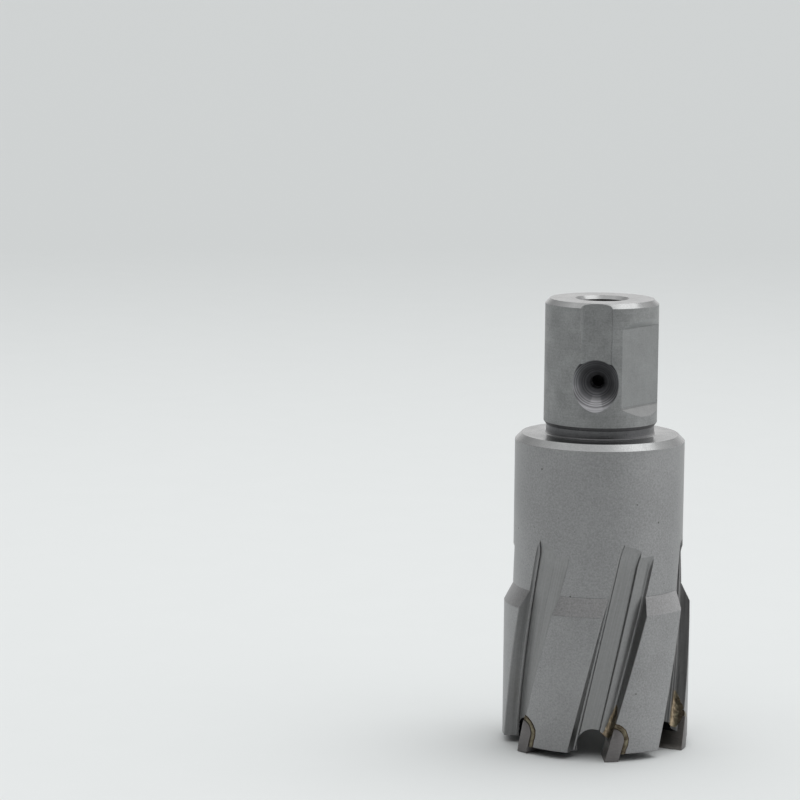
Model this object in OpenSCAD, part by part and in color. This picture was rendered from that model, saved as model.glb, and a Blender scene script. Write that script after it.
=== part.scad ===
// Annular cutter with a hollow fluted body, brazed carbide tips and a shank for set screws or lock balls.
// Sizes in millimetres, angles in degrees. The tool stands on its tips and its axis is +Z.

/* [Shank] */
// Shank diameter that goes into the arbor
shank_d = 19.05; // [18:0.05:20]
// Length from the collar face to the end of the shank
shank_len = 22.8; // [22.4:0.05:25]
// Chamfer on the end of the shank
shank_chamfer = 0.8; // [0.5:0.05:1.2]
// Diameter of the relief neck between shank and collar
neck_d = 18.2; // [17:0.1:18.6]
// Length of the relief neck, measured from the collar face
neck_len = 2.14; // [1.8:0.02:2.6]
// Height of the sloping edge where the neck widens to the shank
neck_slope = 0.6; // [0.3:0.05:0.8]
// Fillet radius at the foot of the neck
neck_fillet = 0.45; // [0.2:0.05:0.7]

/* [Pilot bore] */
// Diameter of the bore that guides the ejector pin
bore_d = 8; // [6:0.05:8.4]
// Countersink on the mouth of the bore
bore_chamfer = 0.6; // [0.3:0.05:0.9]

/* [Lock dimples] */
// Distance from the shank end to the dimple centre
dimple_drop = 13.3; // [13:0.05:13.8]
// Mouth diameter of the conical dimple
dimple_d = 9.26; // [8.4:0.02:9.6]
// Diameter of the centre-drill hole at the bottom of the dimple
dimple_pilot_d = 2.1; // [1.2:0.1:2.6]
// Depth of the centre-drill hole below the cone, which breaks into the pilot bore
dimple_pilot_depth = 2.4; // [2.2:0.1:2.8]
// Width of the lead-in groove at the shank surface
groove_w = 5.1; // [4:0.1:6]
// Depth of the lead-in groove below the shank surface
groove_depth = 0.75; // [0.5:0.05:1]
// Width of the sloping side of the groove
groove_side = 0.4; // [0.2:0.05:0.6]

/* [Drive flats] */
// Depth of the flat below the shank surface
flat_depth = 1.55; // [1.2:0.05:1.8]
// Length of the flat between its end ramps
flat_len = 13.25; // [12:0.05:13.5]
// Distance from the shank end to the middle of the flat
flat_drop = 10.9; // [10.7:0.05:11.1]

/* [Body] */
// Diameter of the collar and upper body
collar_d = 28.55; // [28:0.05:29.5]
// Chamfer on the collar
collar_chamfer = 1.05; // [0.6:0.05:1.4]
// Height of the collar face above the tips
collar_height = 52.9; // [50:0.05:56]
// Distance of the steel lands inside the cutting circle of the tips
land_clearance = 0.27; // [0.1:0.01:0.5]
// Height of the lower end of the step cone above the tips
cone_start = 24.3; // [22:0.1:26]
// Length of the step cone
cone_len = 2.95; // [2:0.05:4]
// Distance of the core cavity outside the inner circle of the tips
core_clearance = 0.25; // [0.1:0.05:0.5]
// Depth of the core cavity above the tips
core_depth = 40; // [37:0.5:42]

/* [Flutes] */
// Depth of the flute floor below the land
flute_depth = 2.28; // [1.9:0.02:2.5]
// Angle from the heel edge of a flute to its leading edge, at the tips
flute_arc = 24; // [22:0.5:26]
// Helix angle of the floor and the heel wall
heel_helix = 13.9; // [10:0.1:16]
// Helix angle of the leading wall
lead_helix = 16.2; // [12:0.1:18]
// Lean of the heel wall away from the radial direction
heel_lean = 15; // [5:1:22]
// Angle of the deep floor, from the heel foot to the step
deep_floor_arc = 13.1; // [11:0.1:14.5]
// Height of the step between the deep floor and the lead floor
step_height = 0.45; // [0.2:0.05:0.6]
// Height above the tips at which the middle of the floor starts to rise out of the body
run_out_start = 32.3; // [30:0.1:33.5]
// Radius of the arc along which the floor rises
run_out_r = 6; // [4:0.5:10]

/* [Gullets] */
// Radius of the arched chip opening ahead of a tip
gullet_r = 2.55; // [2.3:0.05:2.7]
// Height of the top of the arch above the tips
gullet_top = 5; // [4.6:0.1:5.4]
// Distance from the cutting corner back to the middle of the arch
gullet_offset = 1.7; // [1.5:0.05:1.9]

/* [Carbide tips] */
// Diameter over the tips
cut_d = 32; // [31.6:0.02:33]
// Diameter inside the tips
slug_d = 21; // [19.5:0.1:21.4]
// Height of the steel above the plane of the tips
tip_drop = 1.25; // [0.8:0.05:1.6]
// Radius of the rounded upper corner of a tip
tip_r = 1.95; // [1.7:0.05:2.1]
// Thickness of a tip from its face to its back
tip_t = 2.25; // [2.1:0.05:2.5]
// Height of the middle of the rounded corner above the cutting corner
tip_mid = 3.9; // [3.6:0.05:4.1]
// Axial rake of the tip face
tip_rake = 15.5; // [13:0.5:15.5]
// Clearance angle under the tip
tip_clearance = 3; // [1:0.5:8]
// Thickness of the braze between a tip and its seat
braze_t = 0.4; // [0.15:0.05:0.6]
// Angle from the first lead-in groove to the first cutting corner
tip_phase = 11.5; // [0:0.5:60]

/* [Hidden] */
$fn = 96;
tooth_count = 6;
lock_count = 3;
flat_count = 2;
steel = [0.52, 0.53, 0.54];
carbide = [0.36, 0.35, 0.35];
braze = [0.72, 0.6, 0.38];
shank_r = shank_d / 2;
neck_r = neck_d / 2;
bore_r = bore_d / 2;
collar_r = collar_d / 2;
land_r = cut_d / 2 - land_clearance;
core_r = slug_d / 2 + core_clearance;
total_h = collar_height + shank_len;
dimple_z = total_h - dimple_drop;
dimple_r = dimple_d / 2;
dimple_pilot_r = dimple_pilot_d / 2;
dimple_cone = dimple_r - dimple_pilot_r;
flat_z = total_h - flat_drop;
floor_r = land_r - flute_depth;
out_r = land_r * 1.14;
level_step = 2.4;
low_z = -1.2;
run_out_len = sqrt(2 * run_out_r * (max(collar_r - floor_r, 0) + 0.2));
flute_top = run_out_start + run_out_len + 2;
fine_levels = 7;
fine_start = run_out_start - 1.5;
levels = concat(
    [for (z = [low_z:level_step:fine_start - 0.5]) z],
    [for (i = [0:fine_levels]) fine_start + i * (flute_top - fine_start) / fine_levels]
);
// The leading wall meets the lead floor in a hollow of this width
hollow_arc = 3.4;
// The heel wall meets the deep floor over this width and height
heel_strip_arc = 1.6;
heel_strip_h = 0.3;

// Angle through which a helix of the given angle has turned at height z
function helix_turn(angle, z) = z * tan(angle) / land_r * 180 / PI;

// Rise of the floor at height z for a point the given arc ahead of the leading edge
function floor_lift(z, arc) =
    let (past = z + 0.3 * (arc + flute_arc / 2) * PI / 180 * land_r - run_out_start)
    past > 0 ? past * past / (2 * run_out_r) : 0;

// Radius of a floor point after the run-out, kept inside the outer side of the cut
function risen(r, z, arc) = min(r + floor_lift(z, arc), out_r - 0.5);

// Angle taken up by a wall that leans outwards between two radii
function lean_arc(r0, r1) = (r1 - r0) * tan(heel_lean) / ((r0 + r1) / 2) * 180 / PI;

// Cross-section of one flute at height z as radius and angle pairs, from heel to leading edge
function flute_section(z) =
    let (
        heel = helix_turn(heel_helix, z),
        lead = helix_turn(lead_helix, z),
        edge = heel - flute_arc,
        foot_r = floor_r + heel_strip_h,
        foot = edge + lean_arc(foot_r, land_r),
        deep = foot + heel_strip_arc,
        step = deep + deep_floor_arc
    )
    [
        [out_r, edge - lean_arc(land_r, out_r)],
        [risen(foot_r, z, -flute_arc), foot],
        [risen(floor_r, z, -flute_arc), deep],
        [risen(floor_r, z, -0.35 * flute_arc), step],
        [risen(floor_r + step_height, z, -0.3 * flute_arc), step + 1.1],
        [risen(floor_r + 0.35, z, -hollow_arc), lead - hollow_arc],
        [risen(floor_r + 0.29, z, -hollow_arc / 2), lead - hollow_arc * 0.6],
        [risen(floor_r + 0.36, z, 0), lead - hollow_arc * 0.3],
        [risen(floor_r + 0.8, z, 0), lead - 0.35],
        [out_r, lead],
        [out_r, (edge + lead) / 2]
    ];

function polar(p, z) = [p[0] * cos(p[1]), p[0] * sin(p[1]), z];

// One flute as a solid that is taken away from the body
module flute() {
    n = len(flute_section(0));
    points = [
        for (z = levels)
            for (p = flute_section(z)) polar(p, z)
    ];
    sides = [
        for (i = [0:len(levels) - 2], j = [0:n - 1])
            let (a = i * n + j, b = i * n + (j + 1) % n)
            each [[a, b, a + n], [b, b + n, a + n]]
    ];
    bottom = [[for (j = [0:n - 1]) n - 1 - j]];
    top = [[for (j = [0:n - 1]) (len(levels) - 1) * n + j]];
    polyhedron(points = points, faces = concat(sides, bottom, top), convexity = 6);
}

// Turns a piece drawn along +X to the lock groove with the given number
module at_lock(i, shift = 0) {
    rotate([0, 0, -90 + shift + i * 360 / lock_count]) children();
}

// Turns a piece drawn along +X to the tooth with the given number
module at_tooth(i) {
    rotate([0, 0, -90 + tip_phase + i * 360 / tooth_count]) children();
}

// Lead-in groove from the dimple up through the end of the shank
module lock_groove() {
    half = groove_w / 2;
    flat_half = half - groove_side;
    floor_x = shank_r - groove_depth;
    wall_x = sqrt(shank_r * shank_r - half * half);
    flare = groove_side / (wall_x - floor_x);
    reach = 2;
    translate([0, 0, dimple_z])
        linear_extrude(total_h - dimple_z + 1)
            polygon([
                [floor_x, -flat_half],
                [wall_x + reach, -half - flare * reach],
                [wall_x + reach, half + flare * reach],
                [floor_x, flat_half]
            ]);
}

// Conical dimple for the lock ball, with the small hole left by the centre drill
module lock_dimple() {
    over = 1;
    translate([shank_r + over, 0, dimple_z])
        rotate([0, -90, 0]) {
            cylinder(h = dimple_cone + over, r1 = dimple_r + over, r2 = dimple_pilot_r);
            cylinder(h = dimple_cone + over + dimple_pilot_depth, r = dimple_pilot_r);
        }
}

// Flat for a set screw, with a ramp at each end
module drive_flat() {
    floor_x = shank_r - flat_depth;
    reach = 3;
    rise = reach;
    translate([0, shank_r + 1, flat_z])
        rotate([90, 0, 0])
            linear_extrude(2 * shank_r + 2)
                polygon([
                    [floor_x, -flat_len / 2],
                    [floor_x + rise, -flat_len / 2 - rise],
                    [floor_x + rise, flat_len / 2 + rise],
                    [floor_x, flat_len / 2]
                ]);
}

// Outline of the turned blank from the bottom of the lands to the end of the shank
module turned_blank() {
    arc_steps = 6;
    foot_r = neck_r + neck_fillet;
    foot_z = collar_height + neck_fillet;
    fillet = [
        for (i = [0:arc_steps])
            let (a = -90 - 90 * i / arc_steps)
            [foot_r + neck_fillet * cos(a), foot_z + neck_fillet * sin(a)]
    ];
    rotate_extrude()
        polygon(concat(
            [
                [0, tip_drop],
                [land_r, tip_drop],
                [land_r, cone_start],
                [collar_r, cone_start + cone_len],
                [collar_r, collar_height - collar_chamfer],
                [collar_r - collar_chamfer, collar_height]
            ],
            fillet,
            [
                [neck_r, collar_height + neck_len - neck_slope],
                [shank_r, collar_height + neck_len],
                [shank_r, total_h - shank_chamfer],
                [shank_r - shank_chamfer, total_h],
                [0, total_h]
            ]
        ));
}

// Bar with the back and the rounded upper corner of a tip, grown by the given thickness
module tip_bar(grow, length) {
    rotate([-tip_rake, 0, 0]) {
        translate([0, tip_t - tip_r, tip_mid])
            rotate([0, 90, 0])
                cylinder(h = length, r = tip_r + grow);
        translate([0, -tip_r, -10])
            cube([length, tip_r + tip_t + grow, tip_mid + 10]);
    }
}

// The part of that bar which lies behind the face of the tip
module behind_face(grow, length) {
    intersection() {
        tip_bar(grow, length);
        rotate([-tip_rake, 0, 0])
            translate([-1, 0, -12])
                cube([length + 2, 10, 30]);
    }
}

// Chip opening through the wall ahead of a tip
module gullet() {
    centre_z = gullet_top - gullet_r;
    intersection() {
        union() {
            translate([0, -gullet_offset, centre_z])
                rotate([0, 90, 0])
                    cylinder(h = out_r, r = gullet_r);
            translate([0, -gullet_offset - gullet_r, -2])
                cube([out_r, 2 * gullet_r, centre_z + 2]);
        }
        rotate([-tip_rake, 0, 0])
            translate([-1, -20, -10])
                cube([out_r + 2, 20, 30]);
    }
}

module cutter_body() {
    color(steel)
        difference() {
            turned_blank();
            translate([0, 0, -1])
                cylinder(h = core_depth + 1, r = core_r);
            translate([0, 0, core_depth - 1])
                cylinder(h = total_h - core_depth + 2, r = bore_r);
            translate([0, 0, total_h - bore_chamfer])
                cylinder(h = bore_chamfer + 1, r1 = bore_r, r2 = bore_r + bore_chamfer + 1);
            for (i = [0:lock_count - 1]) {
                at_lock(i) lock_groove();
                at_lock(i) lock_dimple();
            }
            for (i = [0:flat_count - 1])
                at_lock(i, 180 / lock_count) drive_flat();
            for (i = [0:tooth_count - 1]) {
                at_tooth(i) flute();
                at_tooth(i) gullet();
                at_tooth(i) behind_face(braze_t, out_r);
            }
        }
}

// One tip, ground to the cutting diameters
module carbide_tip(i) {
    color(carbide)
        difference() {
            intersection() {
                cylinder(h = 12, r = cut_d / 2);
                at_tooth(i) behind_face(0, out_r);
                at_tooth(i)
                    rotate([tip_clearance, 0, 0])
                        translate([-1, -10, 0])
                            cube([out_r + 2, 30, 12]);
            }
            translate([0, 0, -1])
                cylinder(h = 14, r = slug_d / 2);
        }
}

// One seam of braze between the back of a tip and its seat
module braze_seam(i) {
    color(braze)
        difference() {
            intersection() {
                translate([0, 0, tip_drop])
                    cylinder(h = 12, r = land_r);
                at_tooth(i) behind_face(braze_t, out_r);
            }
            translate([0, 0, -1])
                cylinder(h = 15, r = core_r);
            at_tooth(i) tip_bar(0, out_r + 1);
        }
}

module carbide_tip_1() carbide_tip(0);
module carbide_tip_2() carbide_tip(1);
module carbide_tip_3() carbide_tip(2);
module carbide_tip_4() carbide_tip(3);
module carbide_tip_5() carbide_tip(4);
module carbide_tip_6() carbide_tip(5);
module braze_seam_1() braze_seam(0);
module braze_seam_2() braze_seam(1);
module braze_seam_3() braze_seam(2);
module braze_seam_4() braze_seam(3);
module braze_seam_5() braze_seam(4);
module braze_seam_6() braze_seam(5);

cutter_body();
carbide_tip_1();
carbide_tip_2();
carbide_tip_3();
carbide_tip_4();
carbide_tip_5();
carbide_tip_6();
braze_seam_1();
braze_seam_2();
braze_seam_3();
braze_seam_4();
braze_seam_5();
braze_seam_6();
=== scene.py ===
# %% [markdown]
# # An annular cutter in Blender
# The part is a steel hole cutter that stands on its carbide teeth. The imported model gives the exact
# frame, and this lesson dresses it: the steel is modelled again with finer edges, the teeth get their
# ground faces, and each finish is made from nodes.

# %% Load the frame
import math
import bmesh
import bpy
from mathutils import Matrix, Vector


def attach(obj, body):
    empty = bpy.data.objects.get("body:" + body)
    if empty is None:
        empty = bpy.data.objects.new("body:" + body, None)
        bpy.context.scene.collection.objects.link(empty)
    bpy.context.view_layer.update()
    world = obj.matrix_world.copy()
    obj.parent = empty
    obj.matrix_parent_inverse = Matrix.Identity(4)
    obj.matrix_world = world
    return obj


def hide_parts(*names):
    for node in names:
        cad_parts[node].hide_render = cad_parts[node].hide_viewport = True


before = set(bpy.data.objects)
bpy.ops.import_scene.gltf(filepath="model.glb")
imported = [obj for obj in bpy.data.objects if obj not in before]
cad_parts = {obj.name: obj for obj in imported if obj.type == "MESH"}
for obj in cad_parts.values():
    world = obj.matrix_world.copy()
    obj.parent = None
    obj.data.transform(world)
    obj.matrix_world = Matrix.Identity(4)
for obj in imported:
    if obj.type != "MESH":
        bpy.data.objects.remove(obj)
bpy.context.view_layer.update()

# %% [markdown]
# ## Sizes
# All the modelling is done in millimetres, because a boolean cut is steadier on sizes near one than on
# sizes near a thousandth. Each finished mesh is scaled to metres once, in its own vertices. A size that
# only one piece needs stands in the cell of that piece.

# %% Sizes of the real tool, in millimetres and degrees
MM = 0.001
SHANK_R, NECK_R, COLLAR_R, LAND_R, CORE_R, BORE_R = 9.525, 9.1, 14.275, 15.73, 10.75, 4.0
STEEL_Z, CORE_TOP, COLLAR_Z, SHANK_Z, TOP_Z = 1.25, 40.0, 52.9, 55.04, 75.7
CUT_R, SLUG_R = 16.0, 10.5
TEETH, TOOTH_AT, RAKE = 6, -78.5, 15.5
PITCH = 360 / TEETH
TIP_R, TIP_T, TIP_MID, BRAZE_T = 1.95, 2.25, 3.9, 0.4
TIP_BACK = TIP_T - TIP_R
print("tool", TOP_Z, "mm tall,", 2 * CUT_R, "mm over the tips")

# %% [markdown]
# ## One finish for each way of cutting
# The steel is one piece, but each of its faces was cut by another tool, and that shows. So the body
# carries several materials. They are named here, because a boolean hands the material of the cutting
# tool on to the faces that it leaves, and their nodes follow further down.

# %% Name the finishes
FINISHES = [
    "blasted_tool_steel", "ground_tool_steel", "turned_painted_shade_steel", "painted_shade_tool_steel",
    "round_ground_tool_steel", "surface_ground_tool_steel", "milled_tool_steel", "end_milled_painted_shade_steel",
    "drilled_tool_steel", "ground_carbide", "sintered_carbide", "braze_alloy", "pale_paper",
]
finish = {name: bpy.data.materials.new(name) for name in FINISHES}
print(len(finish), "finishes")


# %% [markdown]
# ## The turned blank
# On a lathe the body starts as a bar with a shank, a relief neck, a collar, a step cone and a bored
# core. Stacked cylinders would leave seams between them. So half of its section is drawn as a closed
# line and spun round the axis, which makes every chamfer a true ring.

# %% Spin the blank
def object_from(bm, name, *finishes):
    bmesh.ops.recalc_face_normals(bm, faces=bm.faces)
    mesh = bpy.data.meshes.new(name)
    bm.to_mesh(mesh)
    bm.free()
    for key in finishes:
        mesh.materials.append(finish[key])
    obj = bpy.data.objects.new(name, mesh)
    bpy.context.scene.collection.objects.link(obj)
    return obj


CONE_LOW, CONE_HIGH = 24.3, 27.25
COLLAR_CHAMFER, SHANK_CHAMFER, BORE_CHAMFER = 1.05, 0.8, 0.6
STEPS_ROUND = 288
outline = [
    (CORE_R + 0.15, STEEL_Z), (LAND_R - 0.08, STEEL_Z), (LAND_R, STEEL_Z + 0.08),
    *[(LAND_R, z) for z in range(3, 24, 2)], (LAND_R, CONE_LOW),
    (COLLAR_R + 0.02, CONE_HIGH - 0.04), (COLLAR_R - 0.05, CONE_HIGH), (COLLAR_R - 0.05, CONE_HIGH + 0.08),
    (COLLAR_R, CONE_HIGH + 0.12), *[(COLLAR_R, z) for z in range(29, 51, 2)],
    (COLLAR_R, COLLAR_Z - COLLAR_CHAMFER), (COLLAR_R - COLLAR_CHAMFER, COLLAR_Z),
    (NECK_R + 0.45, COLLAR_Z), (NECK_R + 0.28, COLLAR_Z + 0.03), (NECK_R + 0.13, COLLAR_Z + 0.13),
    (NECK_R + 0.03, COLLAR_Z + 0.28), (NECK_R, COLLAR_Z + 0.45), (NECK_R, SHANK_Z - 0.6), (SHANK_R, SHANK_Z),
    *[(SHANK_R, z) for z in range(56, 75)], (SHANK_R, TOP_Z - SHANK_CHAMFER), (SHANK_R - SHANK_CHAMFER, TOP_Z),
    (BORE_R + BORE_CHAMFER, TOP_Z), (BORE_R, TOP_Z - BORE_CHAMFER), (BORE_R, CORE_TOP),
    (CORE_R - 0.8, CORE_TOP), (CORE_R - 0.2, CORE_TOP - 0.2), (CORE_R, CORE_TOP - 0.8),
    (CORE_R, STEEL_Z + 0.15),
]
bm = bmesh.new()
ring = [bm.verts.new((r, 0.0, z)) for r, z in outline]
line = [bm.edges.new((a, b)) for a, b in zip(ring, ring[1:] + ring[:1])]
bmesh.ops.spin(bm, geom=ring + line, cent=(0, 0, 0), axis=(0, 0, 1), angle=math.tau, steps=STEPS_ROUND,
               use_merge=True)
print("blank with", len(bm.faces), "faces")

# %% [markdown]
# ## Which face has which finish
# The lands and the collar are blasted, the end faces and the shank are ground, and the neck and the bore
# are only turned and get a darker tone that is painted shade for these recesses. The core and the
# underside of the lands get a near-black painted shade. Each face of the blank is sorted by the place of
# its middle, because the rings of the spin lie exactly between these zones.

# %% Give the blank its finishes
BLASTED, GROUND, TURNED_PAINTED_SHADE, PAINTED_SHADE, ROUND_GROUND = range(5)
for face in bm.faces:
    middle = face.calc_center_median()
    reach = middle.xy.length
    # near-black painted shade under the lands and inside the core
    if middle.z < STEEL_Z + 0.01 or middle.z < CORE_TOP + 0.1 and reach < CORE_R + 0.1:
        face.material_index = PAINTED_SHADE
    # darker turned tone, painted shade for the neck and the bore
    elif COLLAR_Z + 0.1 < middle.z < SHANK_Z and reach < SHANK_R or reach < BORE_R + 0.05:
        face.material_index = TURNED_PAINTED_SHADE
    elif SHANK_Z < middle.z < TOP_Z - SHANK_CHAMFER:
        face.material_index = ROUND_GROUND
    else:
        face.material_index = GROUND if middle.z > COLLAR_Z - COLLAR_CHAMFER else BLASTED
body = object_from(bm, "cutter_steel", *FINISHES[:5])
print("finishes on the blank:", sorted({face.material_index for face in body.data.polygons}))


# %% [markdown]
# ## Cutting round the axis
# Flutes, gullets, grooves and flats all repeat round the axis. The tool for a cut is modelled once,
# turned to its place and copied round. Then all the copies leave the body in one exact boolean, which
# is quicker and cleaner than one cut after another.

# %% Helpers for cutting
def whole(bm):
    return list(bm.verts) + list(bm.edges) + list(bm.faces)


def turn(bm, degrees, axis):
    matrix = Matrix.Rotation(math.radians(degrees), 3, axis)
    bmesh.ops.rotate(bm, verts=bm.verts, cent=(0, 0, 0), matrix=matrix)


def repeat(bm, count, apart):
    bmesh.ops.spin(bm, geom=whole(bm), cent=(0, 0, 0), axis=(0, 0, 1), steps=count - 1,
                   angle=math.radians(apart * (count - 1)), use_duplicate=True)


def carve(bm, name, finish_left, at, count, apart):
    turn(bm, at, "Z")
    repeat(bm, count, apart)
    tool = object_from(bm, name, finish_left)
    cut = body.modifiers.new("cut", "BOOLEAN")
    cut.object, cut.operation, cut.solver = tool, "DIFFERENCE", "EXACT"
    cut.material_mode = "TRANSFER"
    result = bpy.data.meshes.new_from_object(body.evaluated_get(bpy.context.evaluated_depsgraph_get()))
    body.modifiers.clear()
    body.data = result
    bpy.data.objects.remove(tool)
    print("cut", count, name, "which leaves", len(result.polygons), "faces")


# %% [markdown]
# ## The flutes
# A flute is milled while the blank turns, so its edges are helices. The section of the cut is drawn
# once and swept with a screw-like spin. The leading wall turns a little faster than the floor, and at
# the top the floor rises along the arc of the milling cutter, so both are given to the swept mesh
# afterwards.

# %% Sweep one flute and cut six
FLOOR_R, FLUTE_ARC, STEP_AT = 13.45, 24.0, -7.4
HEEL_RATE, LEAD_RATE = 0.9014, 1.0582
BLEND_FROM, BLEND_TO = STEP_AT + 1.2, -3.4
LOW, HIGH, LEVELS = -2.0, 38.0, 80
RUN_OUT_Z, RUN_OUT_R, RUN_OUT_SLANT = 32.3, 6.0, 0.3
FLOOR_TOP, OUTSIDE = 15.5, 17.6
section = [
    (18.2, -34.0), (15.63, -24.0), (14.3, -22.75), (FLOOR_R + 0.42, -22.35), (FLOOR_R + 0.3, -22.1),
    (FLOOR_R + 0.25, -21.1), (FLOOR_R - 0.1, -20.95), (FLOOR_R - 0.1, -20.75), (FLOOR_R + 0.02, -20.3),
    (FLOOR_R - 0.03, -14.0), (FLOOR_R, STEP_AT), (FLOOR_R + 0.1, STEP_AT + 0.35),
    (FLOOR_R + 0.42, STEP_AT + 0.65), (FLOOR_R + 0.46, STEP_AT + 1.0), (FLOOR_R + 0.42, -5.0),
    (FLOOR_R + 0.35, -3.6), (FLOOR_R + 0.3, -2.5), (FLOOR_R + 0.29, -1.8), (FLOOR_R + 0.34, -1.2),
    (FLOOR_R + 0.5, -0.75), (FLOOR_R + 0.85, -0.4), (15.66, 0.0), (18.2, 8.6), (18.6, -12.0),
]
bm = bmesh.new()
angle = [math.radians(phi + HEEL_RATE * LOW) for r, phi in section]
ring = [bm.verts.new((r * math.cos(a), r * math.sin(a), LOW)) for (r, phi), a in zip(section, angle)]
cap = bm.faces.new(ring)
bmesh.ops.spin(bm, geom=[cap] + list(cap.edges) + ring, cent=(0, 0, 0), axis=(0, 0, 1), steps=LEVELS,
               dvec=(0, 0, (HIGH - LOW) / LEVELS), angle=math.radians(HEEL_RATE * (HIGH - LOW)))
for v in bm.verts:
    r, phi, z = math.hypot(v.co.x, v.co.y), math.degrees(math.atan2(v.co.y, v.co.x)), v.co.z
    own = phi - HEEL_RATE * z
    lead = min(max((own - BLEND_FROM) / (BLEND_TO - BLEND_FROM), 0.0), 1.0)
    past = max(z + RUN_OUT_SLANT * math.radians(own + FLUTE_ARC / 2) * LAND_R - RUN_OUT_Z, 0.0)
    if r < FLOOR_TOP:
        r = min(r + past * past / (2 * RUN_OUT_R), OUTSIDE)
    a = math.radians(phi + lead * (LEAD_RATE - HEEL_RATE) * z)
    v.co = (r * math.cos(a), r * math.sin(a), z)
carve(bm, "flutes", "milled_tool_steel", TOOTH_AT, TEETH, PITCH)


# %% [markdown]
# ## The gullets
# Ahead of each tooth an arched opening goes right through the wall, so that chips reach the flute. Its
# outline, a round arch on straight sides, is drawn once and drawn out along a radius to a prism. A
# plane that leans with the rake of the tooth cuts the prism off. An arch and a block cut one after the
# other would share faces there, and an exact boolean is only safe where no two faces coincide.

# %% Cut the gullets
def prism(bm, points, along):
    face = bm.faces.new([bm.verts.new(point) for point in points])
    made = bmesh.ops.extrude_face_region(bm, geom=[face])
    far = [g for g in made["geom"] if isinstance(g, bmesh.types.BMVert)]
    bmesh.ops.translate(bm, vec=along, verts=far)
    bmesh.ops.recalc_face_normals(bm, faces=bm.faces)


def close_holes(bm):
    bmesh.ops.holes_fill(bm, edges=[e for e in bm.edges if e.is_boundary], sides=0)


def split_at_rake(bm, keep_back):
    lean = math.radians(RAKE)
    bmesh.ops.bisect_plane(bm, geom=whole(bm), plane_co=(0, 0, 0), plane_no=(0, math.cos(lean), -math.sin(lean)),
                           clear_inner=keep_back, clear_outer=not keep_back)
    close_holes(bm)


GULLET_R, GULLET_AT, GULLET_Z = 2.55, -1.7, 2.45
INSIDE_WALL, OUTSIDE_WALL, BELOW = 8.0, 19.0, -2.0
outline = [(GULLET_AT - GULLET_R, BELOW), (GULLET_AT + GULLET_R, BELOW)]
for a in [math.radians(5 * i) for i in range(37)]:
    outline.append((GULLET_AT + GULLET_R * math.cos(a), GULLET_Z + GULLET_R * math.sin(a)))
bm = bmesh.new()
prism(bm, [(INSIDE_WALL, y, z) for y, z in outline], (OUTSIDE_WALL - INSIDE_WALL, 0, 0))
split_at_rake(bm, False)
carve(bm, "gullets", "end_milled_painted_shade_steel", TOOTH_AT, TEETH, PITCH)


# %% [markdown]
# ## The seats of the tips
# A tip and its seat have one shape: a bar along the radius, flat on the rake side, with one round corner
# at the upper back. One function makes both, and the seat is larger by the thickness of the braze. The
# seat also starts a hair ahead of the rake plane, so that it doesn't share a face with the gullet.

# %% Cut the seats
ARC_STEPS, AHEAD, SEAT_LOW = 28, 0.06, -6.0


def tip_bar(bm, front, grow, low, start, end):
    radius = TIP_R + grow
    sweep = math.acos((front - TIP_BACK) / radius)
    outline = [(front, low), (TIP_T + grow, low)]
    for a in [sweep * i / ARC_STEPS for i in range(ARC_STEPS + 1)]:
        outline.append((TIP_BACK + radius * math.cos(a), TIP_MID + radius * math.sin(a)))
    prism(bm, [(start, y, z) for y, z in outline], (end - start, 0, 0))
    turn(bm, -RAKE, "X")


bm = bmesh.new()
tip_bar(bm, -AHEAD, BRAZE_T, SEAT_LOW, INSIDE_WALL, OUTSIDE_WALL)
carve(bm, "tip_seats", "end_milled_painted_shade_steel", TOOTH_AT, TEETH, PITCH)

# %% [markdown]
# ## Lock grooves
# The shank fits two kinds of arbor. In one of them, lock balls run down shallow grooves from the end of
# the shank. A groove has a flat floor, and a form cutter left sides that curve up to the surface, so
# half of its section is drawn and mirrored. The tool ends inside the dimple, which is cut next.

# %% Cut the grooves
DIMPLE_Z, GROOVE_FLOOR, GROOVE_LEN = 62.4, SHANK_R - 0.75, 15.0
half = [(GROOVE_FLOOR, 2.02), (GROOVE_FLOOR + 0.03, 2.2), (GROOVE_FLOOR + 0.1, 2.38), (9.13, 2.68),
        (SHANK_R + 2, 5.0)]
section = [(x, -y) for x, y in half] + half[::-1]
bm = bmesh.new()
prism(bm, [(x, y, DIMPLE_Z + 0.13) for x, y in section], (0, 0, GROOVE_LEN))
carve(bm, "lock_grooves", "round_ground_tool_steel", -90, 3, 120)

# %% [markdown]
# ## Lock dimples
# Each groove ends in a conical dimple that holds the ball, with the little hole of its centre drill at
# the bottom. The drill turned round a radius of the shank, so the section is spun round that radius.

# %% Cut the dimples
cone = [(SHANK_R + 1.0, 6.2), (SHANK_R - 0.02, 4.7), (SHANK_R - 0.1, 4.55), (SHANK_R - 3.3, 1.35),
        (SHANK_R - 3.5, 1.2), (SHANK_R - 3.8, 1.06), (SHANK_R - 5.7, 1.05), (SHANK_R - 6.0, 0.0)]
bm = bmesh.new()
path = [bm.verts.new((x, 0, DIMPLE_Z + r)) for x, r in cone] + [bm.verts.new((SHANK_R + 1.0, 0, DIMPLE_Z))]
line = [bm.edges.new((a, b)) for a, b in zip(path, path[1:])]
bmesh.ops.spin(bm, geom=path + line, cent=(0, 0, DIMPLE_Z), axis=(1, 0, 0), angle=math.tau, steps=96,
               use_merge=True)
bmesh.ops.remove_doubles(bm, verts=bm.verts, dist=1e-5)
carve(bm, "lock_dimples", "drilled_tool_steel", -90, 3, 120)

# %% [markdown]
# ## Drive flats
# The other kind of arbor presses set screws on two flats. Each flat ends in ramps, and the corner of the
# cutter left a fine line at the foot of the lower one. So the tool is a prism across the shank, with
# that line in its outline.

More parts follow.
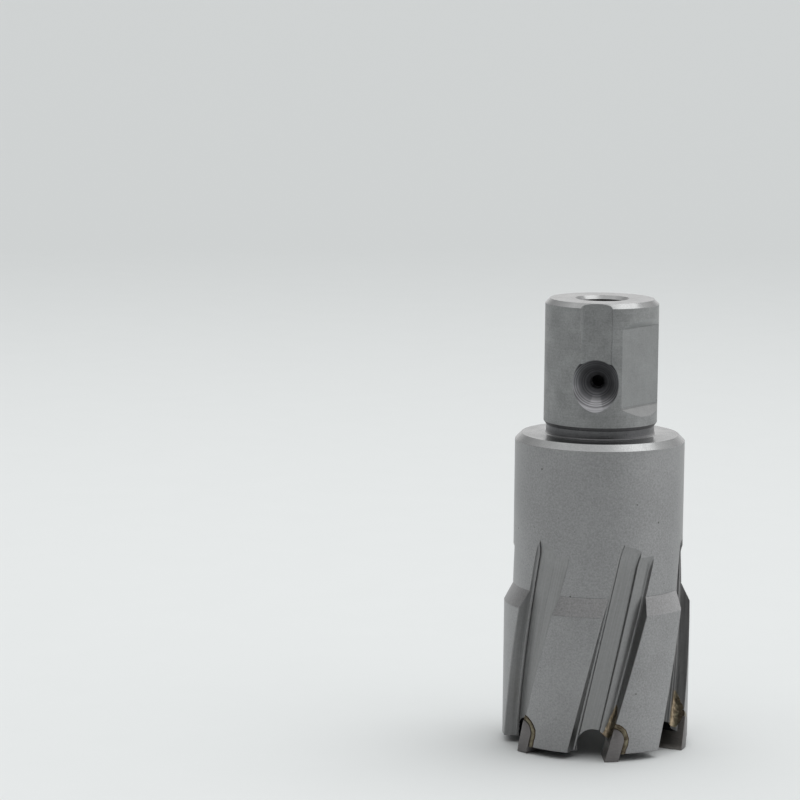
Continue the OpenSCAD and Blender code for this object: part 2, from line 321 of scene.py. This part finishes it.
# %% Cut the flats
FLAT_Z, FLAT_FLOOR, FLAT_SIDE = 64.8, SHANK_R - 1.55, 11.0
section = [(FLAT_FLOOR, -6.42), (FLAT_FLOOR - 0.09, -6.5), (FLAT_FLOOR - 0.07, -6.6), (FLAT_FLOOR + 0.03, -6.65),
           (FLAT_FLOOR + 3, -9.62), (FLAT_FLOOR + 3, 9.62), (FLAT_FLOOR, 6.62)]
bm = bmesh.new()
prism(bm, [(x, -FLAT_SIDE, FLAT_Z + z) for x, z in section], (0, 2 * FLAT_SIDE, 0))
carve(bm, "drive_flats", "surface_ground_tool_steel", -30, 2, 120)


# %% [markdown]
# ## Finishing a piece
# A finished mesh shades smoothly on its round faces and stays crisp at its corners. An edge between two
# finishes is always sharp, because there a milled face leaves a turned one. Then the mesh is scaled to
# metres and takes the place of the plain solid in the frame.

# %% Finish the steel
def finish_piece(obj, sharp_deg, slot, *nodes):
    bm = bmesh.new()
    bm.from_mesh(obj.data)
    bmesh.ops.remove_doubles(bm, verts=bm.verts, dist=1e-4)
    bmesh.ops.recalc_face_normals(bm, faces=bm.faces)
    for face in bm.faces:
        face.smooth = True
    for edge in bm.edges:
        kinds = {face.material_index for face in edge.link_faces}
        edge.smooth = len(kinds) == 1 and edge.calc_face_angle(0.0) < math.radians(sharp_deg)
    bmesh.ops.scale(bm, vec=(MM, MM, MM), verts=bm.verts)
    bm.to_mesh(obj.data)
    bm.free()
    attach(obj, "root")
    if nodes:
        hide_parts(*nodes)
    print(obj.name, "has", len(obj.data.polygons), "faces")


finish_piece(body, 24, "tool_steel", "cutter_body")

# %% [markdown]
# ## The carbide tips
# A tip is a small bar of tungsten carbide, ground to the cutting diameters after brazing. The bar is cut
# by the clearance plane and sliced, so that its ends can follow the ground circles, and its edges are
# broken with a small bevel. Its rake face keeps the skin that it has from sintering.

# %% Make the tips
CLEARANCE, TIP_LOW, SLICE, EDGE_BREAK = math.radians(3), -3.0, 0.25, 0.05
bm = bmesh.new()
tip_bar(bm, 0.0, 0.0, TIP_LOW, SLUG_R, CUT_R)
bmesh.ops.bisect_plane(bm, geom=whole(bm), plane_co=(0, 0, 0), clear_inner=True,
                       plane_no=(0, -math.sin(CLEARANCE), math.cos(CLEARANCE)))
close_holes(bm)
for k in range(1, 18):
    bmesh.ops.bisect_plane(bm, geom=whole(bm), plane_co=(0, SLICE * k, 0), plane_no=(0, 1, 0))
for v in bm.verts:
    ground = CUT_R if v.co.x > (SLUG_R + CUT_R) / 2 else SLUG_R
    v.co.x = math.sqrt(ground * ground - v.co.y * v.co.y)
bmesh.ops.recalc_face_normals(bm, faces=bm.faces)
rim = [e for e in bm.edges if e.calc_face_angle(0.0) > math.radians(35)]
bmesh.ops.bevel(bm, geom=rim, offset=EDGE_BREAK, offset_type="OFFSET", affect="EDGES", segments=2, profile=0.5,
                material=-1)
bmesh.ops.recalc_face_normals(bm, faces=bm.faces)
for face in bm.faces:
    face.material_index = int(face.normal.y < -0.9)
turn(bm, TOOTH_AT, "Z")
repeat(bm, TEETH, PITCH)
tips = object_from(bm, "carbide_tips", "ground_carbide", "sintered_carbide")
finish_piece(tips, 30, "carbide", *["carbide_tip_%d" % i for i in range(1, TEETH + 1)])


# %% [markdown]
# ## Beads of braze
# The silver braze that holds a tip has flowed out of the joint and lies on the land as an uneven bead.
# Its section is spun round the corner of the tip and drawn down the back. Waves of a few lengths make
# every bead a little different, and then it is wrapped onto the land. A vertex value says where flux was
# burnt on, and in the pools where the braze is painted lighter, for the material to read.

# %% A bead round one tip
BEAD = [(-0.35, 0.0), (0.06, 0.0), (0.14, 0.07), (0.19, 0.2), (0.2, 0.4), (0.16, 0.6), (0.08, 0.76),
        (-0.02, 0.86), (-0.35, 0.9)]
BEAD_FOOT = STEEL_Z + 0.03


def share(value, low, high):
    return min(max((value - low) / (high - low), 0.0), 1.0)


def waves(t, k):
    return math.sin(3.1 * t + 1.7 * k) + 0.6 * math.sin(7.3 * t + 2.9 * k) + 0.4 * math.sin(13.7 * t + 0.8 * k)


def add_bead(bm, burn_and_light, k):
    ring = [bm.verts.new((lift, TIP_BACK, TIP_MID + TIP_R + out)) for lift, out in BEAD]
    cap = bm.faces.new(ring)
    made = bmesh.ops.spin(bm, geom=[cap] + list(cap.edges) + ring, cent=(0, TIP_BACK, TIP_MID), axis=(1, 0, 0),
                          angle=math.radians(-90), steps=30)
    bmesh.ops.translate(bm, vec=(0, -TIP_BACK, 0), verts=ring)
    bmesh.ops.spin(bm, geom=made["geom_last"], cent=(0, 0, 0), axis=(1, 0, 0), dvec=(0, 0, -0.2), angle=0, steps=22)
    for v in bm.verts:
        lift, y, z = v.co
        way = Vector((float(z <= TIP_MID), float(z > TIP_MID)))
        if z > TIP_MID and y > TIP_BACK:
            way = Vector((y - TIP_BACK, z - TIP_MID)).normalized()
        out = (y - TIP_BACK) * way.x + (z - TIP_MID) * way.y - TIP_R
        along = math.atan2(way.x, way.y) * TIP_R + max(TIP_MID - z, 0.0)
        more = out * (0.02 + 0.045 * waves(0.8 * along, k))
        if lift > 0:
            lift *= 0.8 + 0.1 * waves(1.1 * along, k + 3)
        v[burn_and_light] = 0.75 * share(out, 0.55, 0.8) + 0.8 * float(out < 0.03)
        v.co = (lift, y + more * way.x, z + more * way.y)
    turn(bm, -RAKE, "X")
    bmesh.ops.bisect_plane(bm, geom=whole(bm), plane_co=(0, 0, BEAD_FOOT), plane_no=(0, 0, 1), clear_inner=True)
    close_holes(bm)
    split_at_rake(bm, True)
    for v in bm.verts:
        v.co.x = math.sqrt((LAND_R + v.co.x) ** 2 - v.co.y ** 2)


# %% [markdown]
# ## Pools of braze
# Above each tip the braze has also run into the corner between the floor of the flute and its leading
# wall, down to the arch of the gullet. A ball has as many points as such a pool needs, so its points are
# carried over: one way runs from the floor to the wall along a curve that fills the corner, one up the
# flute, and one is the thickness.

# %% A pool above one tip
POOL_TOP, POOL_FOOT = 9.4, 5.1
CORNER_AT, CORNER_R, GULLET_TOP = -0.8, 13.8, 4.2


def add_pool(bm, burn_and_light, k):
    for v in bmesh.ops.create_icosphere(bm, subdivisions=5, radius=1.0)["verts"]:
        thick, side, up = v.co
        side /= max(math.sqrt(1.0 - up * up), 0.3 if up < 0 else 0.6)
        t = share(side, -1.0, 1.0)
        swell = 1.0 + 0.1 * waves(1.6 * up, k)
        wide = (2.6 - 2.7 * up + 0.7 * up * up) * swell
        tall = min(1.3 - 1.0 * up, 1.75) * swell
        corner = Vector((CORNER_AT, CORNER_R))
        foot, head = corner - Vector((wide, 0.04)), corner + Vector((0.5, 0.1 + tall))
        spot = (1 - t) ** 2 * foot + 2 * t * (1 - t) * corner + t * t * head
        bulge = (0.1 + 0.05 * waves(2.4 * up + 2 * t, k + 2)) * thick if thick > 0 else 0.5 * thick
        spot += bulge * Vector((-4.2 * t, 1.0 - t))
        arch = 13.7 * math.radians(LEAD_RATE * GULLET_TOP + spot.x) - GULLET_AT
        low = 2.2 + math.sqrt(max(GULLET_R ** 2 - arch * arch, 0.0))
        low += (POOL_FOOT - low) * t * t
        z = low + (POOL_TOP + 0.4 * math.sin(2.2 * k) - low) * (up + 1.0) / 2.0
        a = math.radians(LEAD_RATE * z + spot.x)
        # below zero the value marks painted light: clean braze drawn paler against the shade of the corner
        v[burn_and_light] = 1.1 * share(t, 0.4, 0.8) - 0.7 + 0.4 * share(0.12 - t, 0.0, 0.1)
        v.co = (spot.y * math.cos(a), spot.y * math.sin(a), z)


# %% [markdown]
# ## Six of each
# The waves differ from tooth to tooth, so the six beads and pools can't be copies. Each pair is made in
# a bmesh of its own, turned to its tooth, and joined to the others through a mesh that is thrown away.

# %% Beads and pools at every tooth
bm = bmesh.new()
bm.verts.layers.float.new("burn_and_light")
for k in range(TEETH):
    piece = bmesh.new()
    burn_and_light = piece.verts.layers.float.new("burn_and_light")
    add_bead(piece, burn_and_light, k)
    add_pool(piece, burn_and_light, k)
    turn(piece, TOOTH_AT + PITCH * k, "Z")
    bmesh.ops.recalc_face_normals(piece, faces=piece.faces)
    part = bpy.data.meshes.new("bead")
    piece.to_mesh(part)
    piece.free()
    bm.from_mesh(part)
    bpy.data.meshes.remove(part)
beads = object_from(bm, "braze_beads", "braze_alloy")
finish_piece(beads, 40, "braze")


# %% [markdown]
# ## Materials
# Colours are written as the hex values that a picture editor shows, and one function turns them to the
# linear values that the shader wants. One more function adds a node with its settings and its links.
# Patterns lie on Object coordinates, which are metres, so their sizes are given in millimetres.

# %% Helpers for materials
def linear(hex_code):
    parts = [int(hex_code[i:i + 2], 16) / 255 for i in (1, 3, 5)]
    return [p / 12.92 if p <= 0.04045 else ((p + 0.055) / 1.055) ** 2.4 for p in parts] + [1.0]


def per_mm(size):
    return 1.0 / (size * MM)


def add(tree, kind, settings=(), **inputs):
    node = tree.nodes.new(kind)
    for key, value in dict(settings).items():
        setattr(node, key, value)
    for key, value in inputs.items():
        socket = node.inputs[int(key[1:]) if key[0] == "i" and key[1:].isdigit() else key.replace("_", " ")]
        if isinstance(value, bpy.types.NodeSocket):
            tree.links.new(value, socket)
        else:
            socket.default_value = value
    return node


def start(name, **values):
    mat = finish[name]
    mat.use_nodes = True
    shader = mat.node_tree.nodes["Principled BSDF"]
    for key, value in values.items():
        shader.inputs[key.replace("_", " ")].default_value = value
    place = add(mat.node_tree, "ShaderNodeTexCoord").outputs["Object"]
    print("finish", name)
    return mat.node_tree, shader, place


def dress(tree, shader, **sockets):
    for key, value in sockets.items():
        tree.links.new(value, shader.inputs[key.replace("_", " ")])


# %% [markdown]
# ## Blasted steel
# The lands and the body are hardened tool steel that was blasted with fine beads. That scatters the
# light, so the metal looks an even mid grey with a fine speckle and soft reflections. A few small pits
# are left from handling. The grain is drawn at a third of a millimetre, because the real one is too
# fine to show. A Bevel node dulls the edges, as the blasting did.

# %% Blasted steel
tree, shader, place = start("blasted_tool_steel", Metallic=1.0)
grain = add(tree, "ShaderNodeTexNoise", Vector=place, Scale=per_mm(0.3), Detail=3.0, Roughness=0.7).outputs["Fac"]
cloud = add(tree, "ShaderNodeTexNoise", Vector=place, Scale=per_mm(9.0), Detail=3.0).outputs["Fac"]
mixed = add(tree, "ShaderNodeMath", {"operation": "MULTIPLY_ADD"}, i0=cloud, i1=0.35, i2=grain).outputs[0]
pale = add(tree, "ShaderNodeMapRange", Value=mixed, From_Min=0.4, From_Max=0.95).outputs[0]
tone = add(tree, "ShaderNodeMix", {"data_type": "RGBA"}, i0=pale, i6=linear("#848484"), i7=linear("#a9a9aa"))
pit = add(tree, "ShaderNodeTexVoronoi", Vector=place, Scale=per_mm(1.9), Randomness=1.0).outputs["Distance"]
rare = add(tree, "ShaderNodeTexNoise", Vector=place, Scale=per_mm(6.5), Detail=1.0).outputs["Fac"]
limit = add(tree, "ShaderNodeMapRange", Value=rare, From_Min=0.46, From_Max=0.66, To_Max=0.085).outputs[0]
dark = add(tree, "ShaderNodeMath", {"operation": "LESS_THAN"}, i0=pit, i1=limit).outputs[0]
skin = add(tree, "ShaderNodeMix", {"data_type": "RGBA"}, i0=dark, i6=tone.outputs[2], i7=linear("#62615f"))
rough = add(tree, "ShaderNodeMapRange", Value=grain, From_Min=0.3, From_Max=0.7, To_Min=0.36, To_Max=0.46)
dull = add(tree, "ShaderNodeBevel", {"samples": 6}, Radius=0.12 * MM).outputs[0]
bump = add(tree, "ShaderNodeBump", Strength=0.35, Distance=0.04 * MM, Height=grain, Normal=dull)
dress(tree, shader, Base_Color=skin.outputs[2], Roughness=rough.outputs[0], Normal=bump.outputs[0])

# %% [markdown]
# ## Ground steel, and turned and core steel with painted shade
# The end of the shank and the collar were ground bright, the shank itself was ground round and stays
# satin, and the flats were ground flat. The neck and the bore were only turned, and their darker tone is
# painted shade for these recesses. The core and the underside of the lands get a near-black painted
# shade. On all of them fine rings run round the axis, so the rings are read from the distance to the
# axis and the height, never from the angle. A cloud and a fine grain break them up.

# %% Ground steel, and turned and core steel with painted shade
for name, ring_mm, low, high, rough_low, depth_mm in [
        ("ground_tool_steel", 0.16, "#8c8d8d", "#9e9f9f", 0.18, 0.003),
        ("round_ground_tool_steel", 0.16, "#818282", "#a2a3a3", 0.42, 0.003),
        ("surface_ground_tool_steel", 0.2, "#868787", "#999a9a", 0.29, 0.003),
        # turned tone: painted shade for the neck and bore; near-black tone: painted shade for the core and under the
        # lands
        ("turned_painted_shade_steel", 0.35, "#58585a", "#6f6f70", 0.26, 0.006),
        ("painted_shade_tool_steel", 0.35, "#151516", "#202021", 0.4, 0.006)]:
    tree, shader, place = start(name, Metallic=1.0)
    flat = add(tree, "ShaderNodeVectorMath", {"operation": "MULTIPLY"}, i0=place, i1=(1, 1, 0)).outputs[0]
    reach = add(tree, "ShaderNodeVectorMath", {"operation": "LENGTH"}, i0=flat).outputs["Value"]
    height = add(tree, "ShaderNodeSeparateXYZ", Vector=place).outputs["Z"]
    spot = add(tree, "ShaderNodeCombineXYZ", X=reach, Y=height).outputs[0]
    rings = add(tree, "ShaderNodeTexNoise", Vector=spot, Scale=per_mm(ring_mm), Detail=2.0).outputs["Fac"]
    cloud = add(tree, "ShaderNodeTexNoise", Vector=place, Scale=per_mm(3.5), Detail=5.0, Roughness=0.7)
    grain = add(tree, "ShaderNodeTexNoise", Vector=place, Scale=per_mm(0.28), Detail=3.0, Roughness=0.7)
    mixed = add(tree, "ShaderNodeMath", {"operation": "MULTIPLY_ADD"}, i0=rings, i1=0.3, i2=cloud.outputs["Fac"])
    mixed = add(tree, "ShaderNodeMath", {"operation": "MULTIPLY_ADD"}, i0=grain.outputs["Fac"], i1=0.9,
                i2=mixed.outputs[0])
    pale = add(tree, "ShaderNodeMapRange", Value=mixed.outputs[0], From_Min=0.75, From_Max=1.45).outputs[0]
    tone = add(tree, "ShaderNodeMix", {"data_type": "RGBA"}, i0=pale, i6=linear(low), i7=linear(high))
    rough = add(tree, "ShaderNodeMapRange", Value=pale, To_Min=rough_low + 0.1, To_Max=rough_low)
    dull = add(tree, "ShaderNodeBevel", {"samples": 6}, Radius=0.05 * MM).outputs[0]
    bump = add(tree, "ShaderNodeBump", Strength=0.5, Distance=depth_mm * MM, Height=rings, Normal=dull)
    dress(tree, shader, Base_Color=tone.outputs[2], Roughness=rough.outputs[0], Normal=bump.outputs[0])

# %% [markdown]
# ## Milled steel in the flutes
# The flutes were milled along the helix and left as they came off the machine, so streaks run along
# them. The pattern is turned back by the helix first, which lays the flute straight, and then it is
# stretched along the axis.

# %% Milled steel
tree, shader, place = start("milled_tool_steel", Metallic=1.0)
height = add(tree, "ShaderNodeSeparateXYZ", Vector=place).outputs["Z"]
back = add(tree, "ShaderNodeMath", {"operation": "MULTIPLY"}, i0=height, i1=-math.radians(0.95) / MM).outputs[0]
straight = add(tree, "ShaderNodeVectorRotate", {"rotation_type": "Z_AXIS"}, Vector=place, Angle=back).outputs[0]
long = add(tree, "ShaderNodeMapping", Vector=straight, Scale=(1, 1, 0.02)).outputs[0]
streaks = add(tree, "ShaderNodeTexNoise", Vector=long, Scale=per_mm(0.3), Detail=3.0, Roughness=0.6).outputs["Fac"]
grain = add(tree, "ShaderNodeTexNoise", Vector=place, Scale=per_mm(0.5), Detail=3.0, Roughness=0.7).outputs["Fac"]
mixed = add(tree, "ShaderNodeMath", {"operation": "MULTIPLY_ADD"}, i0=grain, i1=0.5, i2=streaks).outputs[0]
pale = add(tree, "ShaderNodeMapRange", Value=mixed, From_Min=0.45, From_Max=1.05).outputs[0]
tone = add(tree, "ShaderNodeMix", {"data_type": "RGBA"}, i0=pale, i6=linear("#828282"), i7=linear("#989898"))
rough = add(tree, "ShaderNodeMapRange", Value=streaks, From_Min=0.3, From_Max=0.7, To_Min=0.3, To_Max=0.42)
dull = add(tree, "ShaderNodeBevel", {"samples": 6}, Radius=0.12 * MM).outputs[0]
bump = add(tree, "ShaderNodeBump", Strength=0.3, Distance=0.006 * MM, Height=streaks, Normal=dull)
dress(tree, shader, Base_Color=tone.outputs[2], Roughness=rough.outputs[0], Normal=bump.outputs[0])

# %% [markdown]
# ## End-milled steel with painted shade
# The end mill cut the gullets and the seats before the blasting. These deep faces are painted nearly black
# as shade, and a little uneven. A plain grain gives both the tone and the gloss.

# %% End-milled steel, painted dark as shade
tree, shader, place = start("end_milled_painted_shade_steel", Metallic=1.0)
grain = add(tree, "ShaderNodeTexNoise", Vector=place, Scale=per_mm(0.6), Detail=4.0, Roughness=0.7).outputs["Fac"]
pale = add(tree, "ShaderNodeMapRange", Value=grain, From_Min=0.3, From_Max=0.7).outputs[0]
# near-black tone: painted shade in the gullets and the seats
tone = add(tree, "ShaderNodeMix", {"data_type": "RGBA"}, i0=pale, i6=linear("#121213"), i7=linear("#202021"))
rough = add(tree, "ShaderNodeMapRange", Value=pale, To_Min=0.32, To_Max=0.42)
dress(tree, shader, Base_Color=tone.outputs[2], Roughness=rough.outputs[0])

# %% [markdown]
# ## Drilled steel in the dimples
# The drill left bright and dark rings round its own axis. They change with the depth of the cone, and
# the depth is read along the nearest of the three drilling directions.

# %% Drilled steel
tree, shader, place = start("drilled_tool_steel", Metallic=1.0, Roughness=0.3)
depth = None
for degrees in (-90, 30, 150):
    way = (math.cos(math.radians(degrees)), math.sin(math.radians(degrees)), 0)
    along = add(tree, "ShaderNodeVectorMath", {"operation": "DOT_PRODUCT"}, i0=place, i1=way).outputs["Value"]
    if depth:
        along = add(tree, "ShaderNodeMath", {"operation": "MAXIMUM"}, i0=depth, i1=along).outputs[0]
    depth = along
spot = add(tree, "ShaderNodeCombineXYZ", X=depth).outputs[0]
rings = add(tree, "ShaderNodeTexNoise", Vector=spot, Scale=per_mm(0.3), Detail=3.0).outputs["Fac"]
pale = add(tree, "ShaderNodeMapRange", Value=rings, From_Min=0.3, From_Max=0.7).outputs[0]
tone = add(tree, "ShaderNodeMix", {"data_type": "RGBA"}, i0=pale, i6=linear("#5a5a5c"), i7=linear("#acacaf"))
bump = add(tree, "ShaderNodeBump", Strength=0.7, Distance=0.06 * MM, Height=rings)
dress(tree, shader, Base_Color=tone.outputs[2], Normal=bump.outputs[0])

# %% [markdown]
# ## Carbide
# Cemented carbide is a darker, slightly warm grey. The grinding wheel leaves fine lines along its faces,
# and the rake face, which was only sintered, is a little paler. The lines are a noise that is drawn out
# across the tool.

# %% Carbide
for name, low, high in [("ground_carbide", "#737070", "#7d7a79"), ("sintered_carbide", "#807c79", "#8e8a86")]:
    tree, shader, place = start(name, Metallic=1.0)
    flat = add(tree, "ShaderNodeMapping", Vector=place, Scale=(0.3, 0.3, 1.0)).outputs[0]
    lines = add(tree, "ShaderNodeTexNoise", Vector=flat, Scale=per_mm(0.25), Detail=3.0, Roughness=0.6).outputs["Fac"]
    pale = add(tree, "ShaderNodeMapRange", Value=lines, From_Min=0.3, From_Max=0.7).outputs[0]
    tone = add(tree, "ShaderNodeMix", {"data_type": "RGBA"}, i0=pale, i6=linear(low), i7=linear(high))
    rough = add(tree, "ShaderNodeMapRange", Value=pale, To_Min=0.32, To_Max=0.42)
    bump = add(tree, "ShaderNodeBump", Strength=0.3, Distance=0.006 * MM, Height=lines)
    dress(tree, shader, Base_Color=tone.outputs[2], Roughness=rough.outputs[0], Normal=bump.outputs[0])

# %% [markdown]
# ## Braze
# The braze is a silver and brass alloy: khaki where it is clean, brown where flux was burnt onto it, and
# smooth, because it set from a liquid. The vertex value of the meshes shifts it between the two, and a
# slow noise keeps the border uneven. Below zero, in the pools, the clean braze is also painted paler, as
# painted light against the shade of the flute corner. The seams inside the joints of the imported model
# get it too.

# %% Braze
tree, shader, place = start("braze_alloy", Metallic=1.0)
flow = add(tree, "ShaderNodeTexNoise", Vector=place, Scale=per_mm(1.1), Detail=4.0, Distortion=0.6).outputs["Fac"]
tone = add(tree, "ShaderNodeValToRGB", Fac=flow)
ramp = tone.color_ramp
ramp.elements[0].position, ramp.elements[0].color = 0.36, linear("#544b3e")
ramp.elements[1].position, ramp.elements[1].color = 0.66, linear("#88826d")
ramp.elements.new(0.48).color = linear("#736c5c")
burn_and_light = add(tree, "ShaderNodeAttribute", {"attribute_name": "burn_and_light"}).outputs["Fac"]
edge = add(tree, "ShaderNodeMath", {"operation": "MULTIPLY_ADD"}, i0=flow, i1=0.5, i2=burn_and_light).outputs[0]
crust = add(tree, "ShaderNodeMapRange", Value=edge, From_Min=0.45, From_Max=1.0).outputs[0]
# painted light: the pools get a paler clean tone against the shade of their corner
clean_and_lit = add(tree, "ShaderNodeMath", {"operation": "MULTIPLY", "use_clamp": True}, i0=burn_and_light, i1=-1.2).outputs[0]
clean_and_lit_tone = add(tree, "ShaderNodeMix", {"data_type": "RGBA"}, i0=clean_and_lit, i6=tone.outputs[0], i7=linear("#b5a48b"))
skin = add(tree, "ShaderNodeMix", {"data_type": "RGBA"}, i0=crust, i6=clean_and_lit_tone.outputs[2], i7=linear("#35271c"))
rough = add(tree, "ShaderNodeMapRange", Value=flow, From_Min=0.35, From_Max=0.65, To_Min=0.46, To_Max=0.3)
bump = add(tree, "ShaderNodeBump", Strength=0.35, Distance=0.06 * MM, Height=flow)
dress(tree, shader, Base_Color=skin.outputs[2], Roughness=rough.outputs[0], Normal=bump.outputs[0])
for i in range(1, TEETH + 1):
    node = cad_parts["braze_seam_%d" % i]
    node.data.materials.clear()
    node.data.materials.append(finish["braze_alloy"])

# %% [markdown]
# ## The floor
# The tool stands on pale, slightly cool paper that runs past the edge of the picture. It is one large
# plane. Its colour gets a little darker with the distance from the tool, a painted fall-off of the light,
# so that the background is pale by its own colour and needs no extra light.

# %% Floor
bm = bmesh.new()
bmesh.ops.create_grid(bm, x_segments=1, y_segments=1, size=12.0)
floor = object_from(bm, "floor", "pale_paper")
tree, shader, place = start("pale_paper", Roughness=0.9, Specular_IOR_Level=0.1)
reach = add(tree, "ShaderNodeVectorMath", {"operation": "LENGTH"}, i0=place).outputs["Value"]
# painted shade: the paper darkens with distance, as the light falls off
far = add(tree, "ShaderNodeMapRange", {"interpolation_type": "SMOOTHSTEP"}, Value=reach, From_Min=0.1,
          From_Max=1.0).outputs[0]
fibre = add(tree, "ShaderNodeTexNoise", Vector=place, Scale=per_mm(14.0), Detail=3.0).outputs["Fac"]
mixed = add(tree, "ShaderNodeMath", {"operation": "MULTIPLY_ADD"}, i0=fibre, i1=0.08, i2=far).outputs[0]
tone = add(tree, "ShaderNodeMix", {"data_type": "RGBA"}, i0=mixed, i6=linear("#e6e9e9"), i7=linear("#cdd0d0"))
dress(tree, shader, Base_Color=tone.outputs[2])

# %% [markdown]
# ## The light
# Metal shows what stands around it, so the light is drawn as a whole room. It is brightest overhead and
# at the back right, weaker at the back and on the left, and almost dark in front. That gives the steel a
# calm front, a lighter right side and bright rims. A few area lamps could do that too, but each would
# show in the steel as a hard patch.

# %% World
world = bpy.data.worlds.new("studio")
bpy.context.scene.world = world
world.use_nodes = True
tree = world.node_tree
place = add(tree, "ShaderNodeTexCoord").outputs["Generated"]
way = add(tree, "ShaderNodeSeparateXYZ", Vector=place).outputs
above = add(tree, "ShaderNodeMapRange", Value=way["Z"], From_Min=0.4, From_Max=0.86, To_Max=1.08).outputs[0]
turned = add(tree, "ShaderNodeVectorMath", {"operation": "DOT_PRODUCT"}, i0=place, i1=(0.9, 0.44, 0.0))
right = add(tree, "ShaderNodeMapRange", Value=turned.outputs["Value"], From_Min=0.1, From_Max=0.95, To_Max=1.25)
behind = add(tree, "ShaderNodeMapRange", Value=way["Y"], From_Min=-0.1, From_Max=0.9, To_Max=0.86)
left = add(tree, "ShaderNodeMapRange", Value=way["X"], From_Min=-0.1, From_Max=-0.95, To_Max=0.28)
side = add(tree, "ShaderNodeMath", {"operation": "MAXIMUM"}, i0=right.outputs[0], i1=behind.outputs[0])
side = add(tree, "ShaderNodeMath", {"operation": "MAXIMUM"}, i0=side.outputs[0], i1=left.outputs[0]).outputs[0]
fade = add(tree, "ShaderNodeMapRange", Value=way["Z"], From_Min=0.15, From_Max=0.7, To_Min=1.0, To_Max=0.35)
light = add(tree, "ShaderNodeMath", {"operation": "MULTIPLY_ADD"}, i0=side, i1=fade.outputs[0], i2=above)
light = add(tree, "ShaderNodeMath", {"operation": "ADD"}, i0=light.outputs[0], i1=0.05).outputs[0]
tree.links.new(light, tree.nodes["Background"].inputs["Strength"])
tree.nodes["Background"].inputs["Color"].default_value = linear("#ffffff")
print("world with", len(tree.nodes), "nodes")

# %% [markdown]
# ## The lamp
# A room of light alone leaves the tool floating, because its shadow is too weak. A sun from above and
# behind adds the shadow at the feet. It is forty degrees wide, as a large soft box is, so that the
# shadow has no edge and the steel gets no hard glint.

# %% Lamp
lamp = bpy.data.lights.new("soft_lamp", "SUN")
lamp.energy, lamp.angle = 0.42, math.radians(40)
sun = bpy.data.objects.new("soft_lamp", lamp)
sun.rotation_euler = Vector((-0.3, -0.3, -1.0)).to_track_quat("-Z", "Y").to_euler()
bpy.context.scene.collection.objects.link(sun)
print("lamp of", round(lamp.energy, 2), "watts per square metre")

# %% [markdown]
# ## The camera
# The camera looks from the angle of the photograph, which was found by fitting the ellipses of the rims.
# The fit gave the focal length in pixels and the three axes of the camera, so these are used as they
# came out. The tool keeps its own frame, and the camera turns round it by the angle of its front groove.

# %% Camera at the angle of the photograph
PICTURE_PX, FOCAL_PX, SENSOR_MM = 800.0, 3296.5043, 36.0
FRONT_TURN, EYE_AT = math.radians(5.45), (0, -0.55, 0.1357982)
AXES = Matrix(((0.9979914255, 0.0626393491, 0.0094565586),
               (-0.0181197152, 0.1392162866, 0.9900962082),
               (0.0607024751, -0.9882788764, 0.1400716675)))
cam = bpy.data.cameras.new("camera")
cam.sensor_width, cam.lens = SENSOR_MM, FOCAL_PX * SENSOR_MM / PICTURE_PX
cam.clip_start, cam.clip_end = 0.01, 30.0
eye = bpy.data.objects.new("camera", cam)
basis = AXES.transposed().to_4x4()
eye.matrix_world = Matrix.Rotation(FRONT_TURN, 4, "Z") @ Matrix.Translation(EYE_AT) @ basis
bpy.context.scene.collection.objects.link(eye)
bpy.context.scene.camera = eye
bpy.context.scene.view_settings.view_transform = "Standard"
print("lens of", round(cam.lens, 1), "mm")
